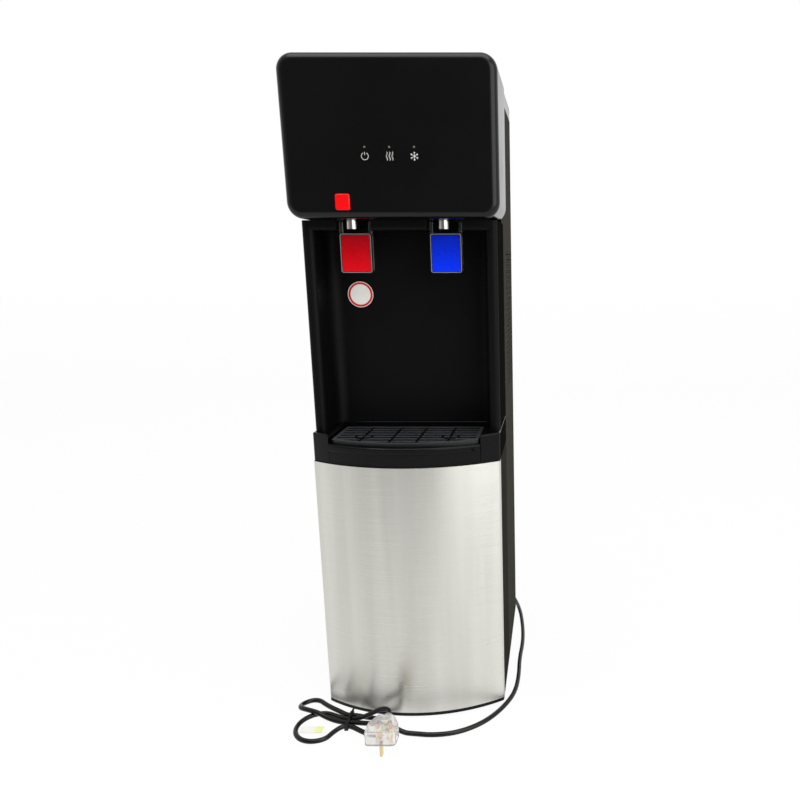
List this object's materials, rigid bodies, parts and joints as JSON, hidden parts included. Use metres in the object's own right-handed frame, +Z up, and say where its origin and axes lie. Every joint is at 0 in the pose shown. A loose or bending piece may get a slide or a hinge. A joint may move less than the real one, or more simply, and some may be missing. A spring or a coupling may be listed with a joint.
{
  "type": "water dispenser",
  "caption": "Floor-standing hot and cold water dispenser with a bottle seat on top, lever taps over a recessed drip tray and a bowed brushed-steel lower front.",
  "frame": {"origin": "floor level under the middle of the cabinet's bounding box, the mains lead left out", "axes": "+X to the viewer's right, +Y towards the back, +Z up; the taps face -Y"},
  "size_m": [0.3861, 0.5691, 1.072],
  "materials": {
    "gloss_black": "glossy black moulding",
    "satin_black": "satin black moulding",
    "stainless": "horizontally brushed stainless sheet",
    "dark_paint": "dark glossy painted sheet",
    "clear_plastic": "clear polycarbonate",
    "red_plastic": "red moulding",
    "blue_plastic": "blue moulding",
    "chrome": "polished plating",
    "white_plastic": "off-white moulding",
    "light_pipe": "milky light pipe",
    "board_green": "green circuit board",
    "spring_steel": "bright spring wire",
    "tank_steel": "plain stainless sheet",
    "foam": "cream insulating foam",
    "copper": "copper tube",
    "silicone": "milky silicone hose",
    "galvanised": "zinc-plated sheet and screws",
    "black_rubber": "black rubber",
    "cord_black": "black flexible sheath",
    "tag_white": "blank white tag",
    "pin_brass": "plain brass pins",
    "fuse_cream": "ceramic fuse with metal ends"
  },
  "bodies": {
    "cabinet": {"base_pan": "satin_black", "base_feet": "black_rubber", "front_skin": "stainless", "front_carrier": "gloss_black", "tray_housing": "gloss_black", "alcove_panel": "gloss_black", "head_cover": "gloss_black", "control_board": "board_green", "indicator_lights": "light_pipe", "lock_spring": "spring_steel", "hot_tap_body": "white_plastic", "cold_tap_body": "white_plastic", "tap_nozzles": "chrome", "lever_pins": "spring_steel", "lever_springs": "spring_steel", "top_cover": "gloss_black", "left_side_panel": "dark_paint", "right_side_panel": "dark_paint", "back_panel": "galvanised", "tank_shelf": "galvanised", "hot_tank_shelf": "galvanised", "cold_tank": "tank_steel", "evaporator": "copper", "tank_insulation": "foam", "cold_outlet_pipe": "silicone", "hot_tank": "tank_steel", "heater_band": "tank_steel", "thermostats": "white_plastic", "hot_feed_pipe": "silicone", "hot_outlet_hose": "silicone", "drain_cap": "white_plastic", "compressor": "dark_paint", "compressor_grommets": "black_rubber", "condenser_coil": "dark_paint", "condenser_wires": "dark_paint", "condenser_clips": "satin_black", "discharge_pipe": "copper", "filter_drier": "copper", "capillary_tube": "copper", "suction_pipe": "copper", "switch_bezels": "satin_black", "panel_screws": "galvanised", "cord_gland": "black_rubber", "mains_cord": "cord_black", "cord_hank": "cord_black", "cord_tie": "cord_black", "cord_tag": "tag_white", "plug_body": "clear_plastic", "plug_pins": "pin_brass", "plug_fuse": "fuse_cream"},
    "drip_tray": {"drip_tray": "gloss_black"},
    "drip_grille": {"drip_grille": "satin_black"},
    "hot_lever": {"hot_lever": "clear_plastic", "hot_insert": "red_plastic"},
    "cold_lever": {"cold_lever": "clear_plastic", "cold_insert": "blue_plastic"},
    "lock_button": {"lock_button": "red_plastic"},
    "bottle_seat": {"bottle_seat": "satin_black"},
    "hot_rocker": {"hot_rocker": "red_plastic"},
    "cold_rocker": {"cold_rocker": "satin_black"}
  },
  "joints": [
    {"name": "hot_lever_push", "type": "hinge", "parent": "cabinet", "child": "hot_lever", "pos_m": [-0.072, -0.118, 0.848], "axis": [1, 0, 0], "range_deg": [0, 15], "stiffness_Nm_per_rad": 0.6, "springref_deg": -8.59},
    {"name": "cold_lever_push", "type": "hinge", "parent": "cabinet", "child": "cold_lever", "pos_m": [0.072, -0.118, 0.848], "axis": [1, 0, 0], "range_deg": [0, 15], "stiffness_Nm_per_rad": 0.6, "springref_deg": -8.59},
    {"name": "lock_button_press", "type": "slide", "parent": "cabinet", "child": "lock_button", "axis": [0, 1, 0], "range_m": [0, 0.0025], "stiffness_N_per_m": 400, "springref_m": -0.003},
    {"name": "drip_tray_pull", "type": "slide", "parent": "cabinet", "child": "drip_tray", "axis": [0, -1, 0], "range_m": [0, 0.13]},
    {"name": "drip_grille_lift", "type": "slide", "parent": "drip_tray", "child": "drip_grille", "axis": [0, 0, 1], "range_m": [0, 0.05]},
    {"name": "bottle_seat_lift", "type": "slide", "parent": "cabinet", "child": "bottle_seat", "axis": [0, 0, 1], "range_m": [0, 0.12]},
    {"name": "hot_switch_rock", "type": "hinge", "parent": "cabinet", "child": "hot_rocker", "pos_m": [0.03, 0.178, 0.757], "axis": [1, 0, 0], "range_deg": [0, 14]},
    {"name": "cold_switch_rock", "type": "hinge", "parent": "cabinet", "child": "cold_rocker", "pos_m": [-0.03, 0.178, 0.757], "axis": [1, 0, 0], "range_deg": [0, 14]}
  ]
}
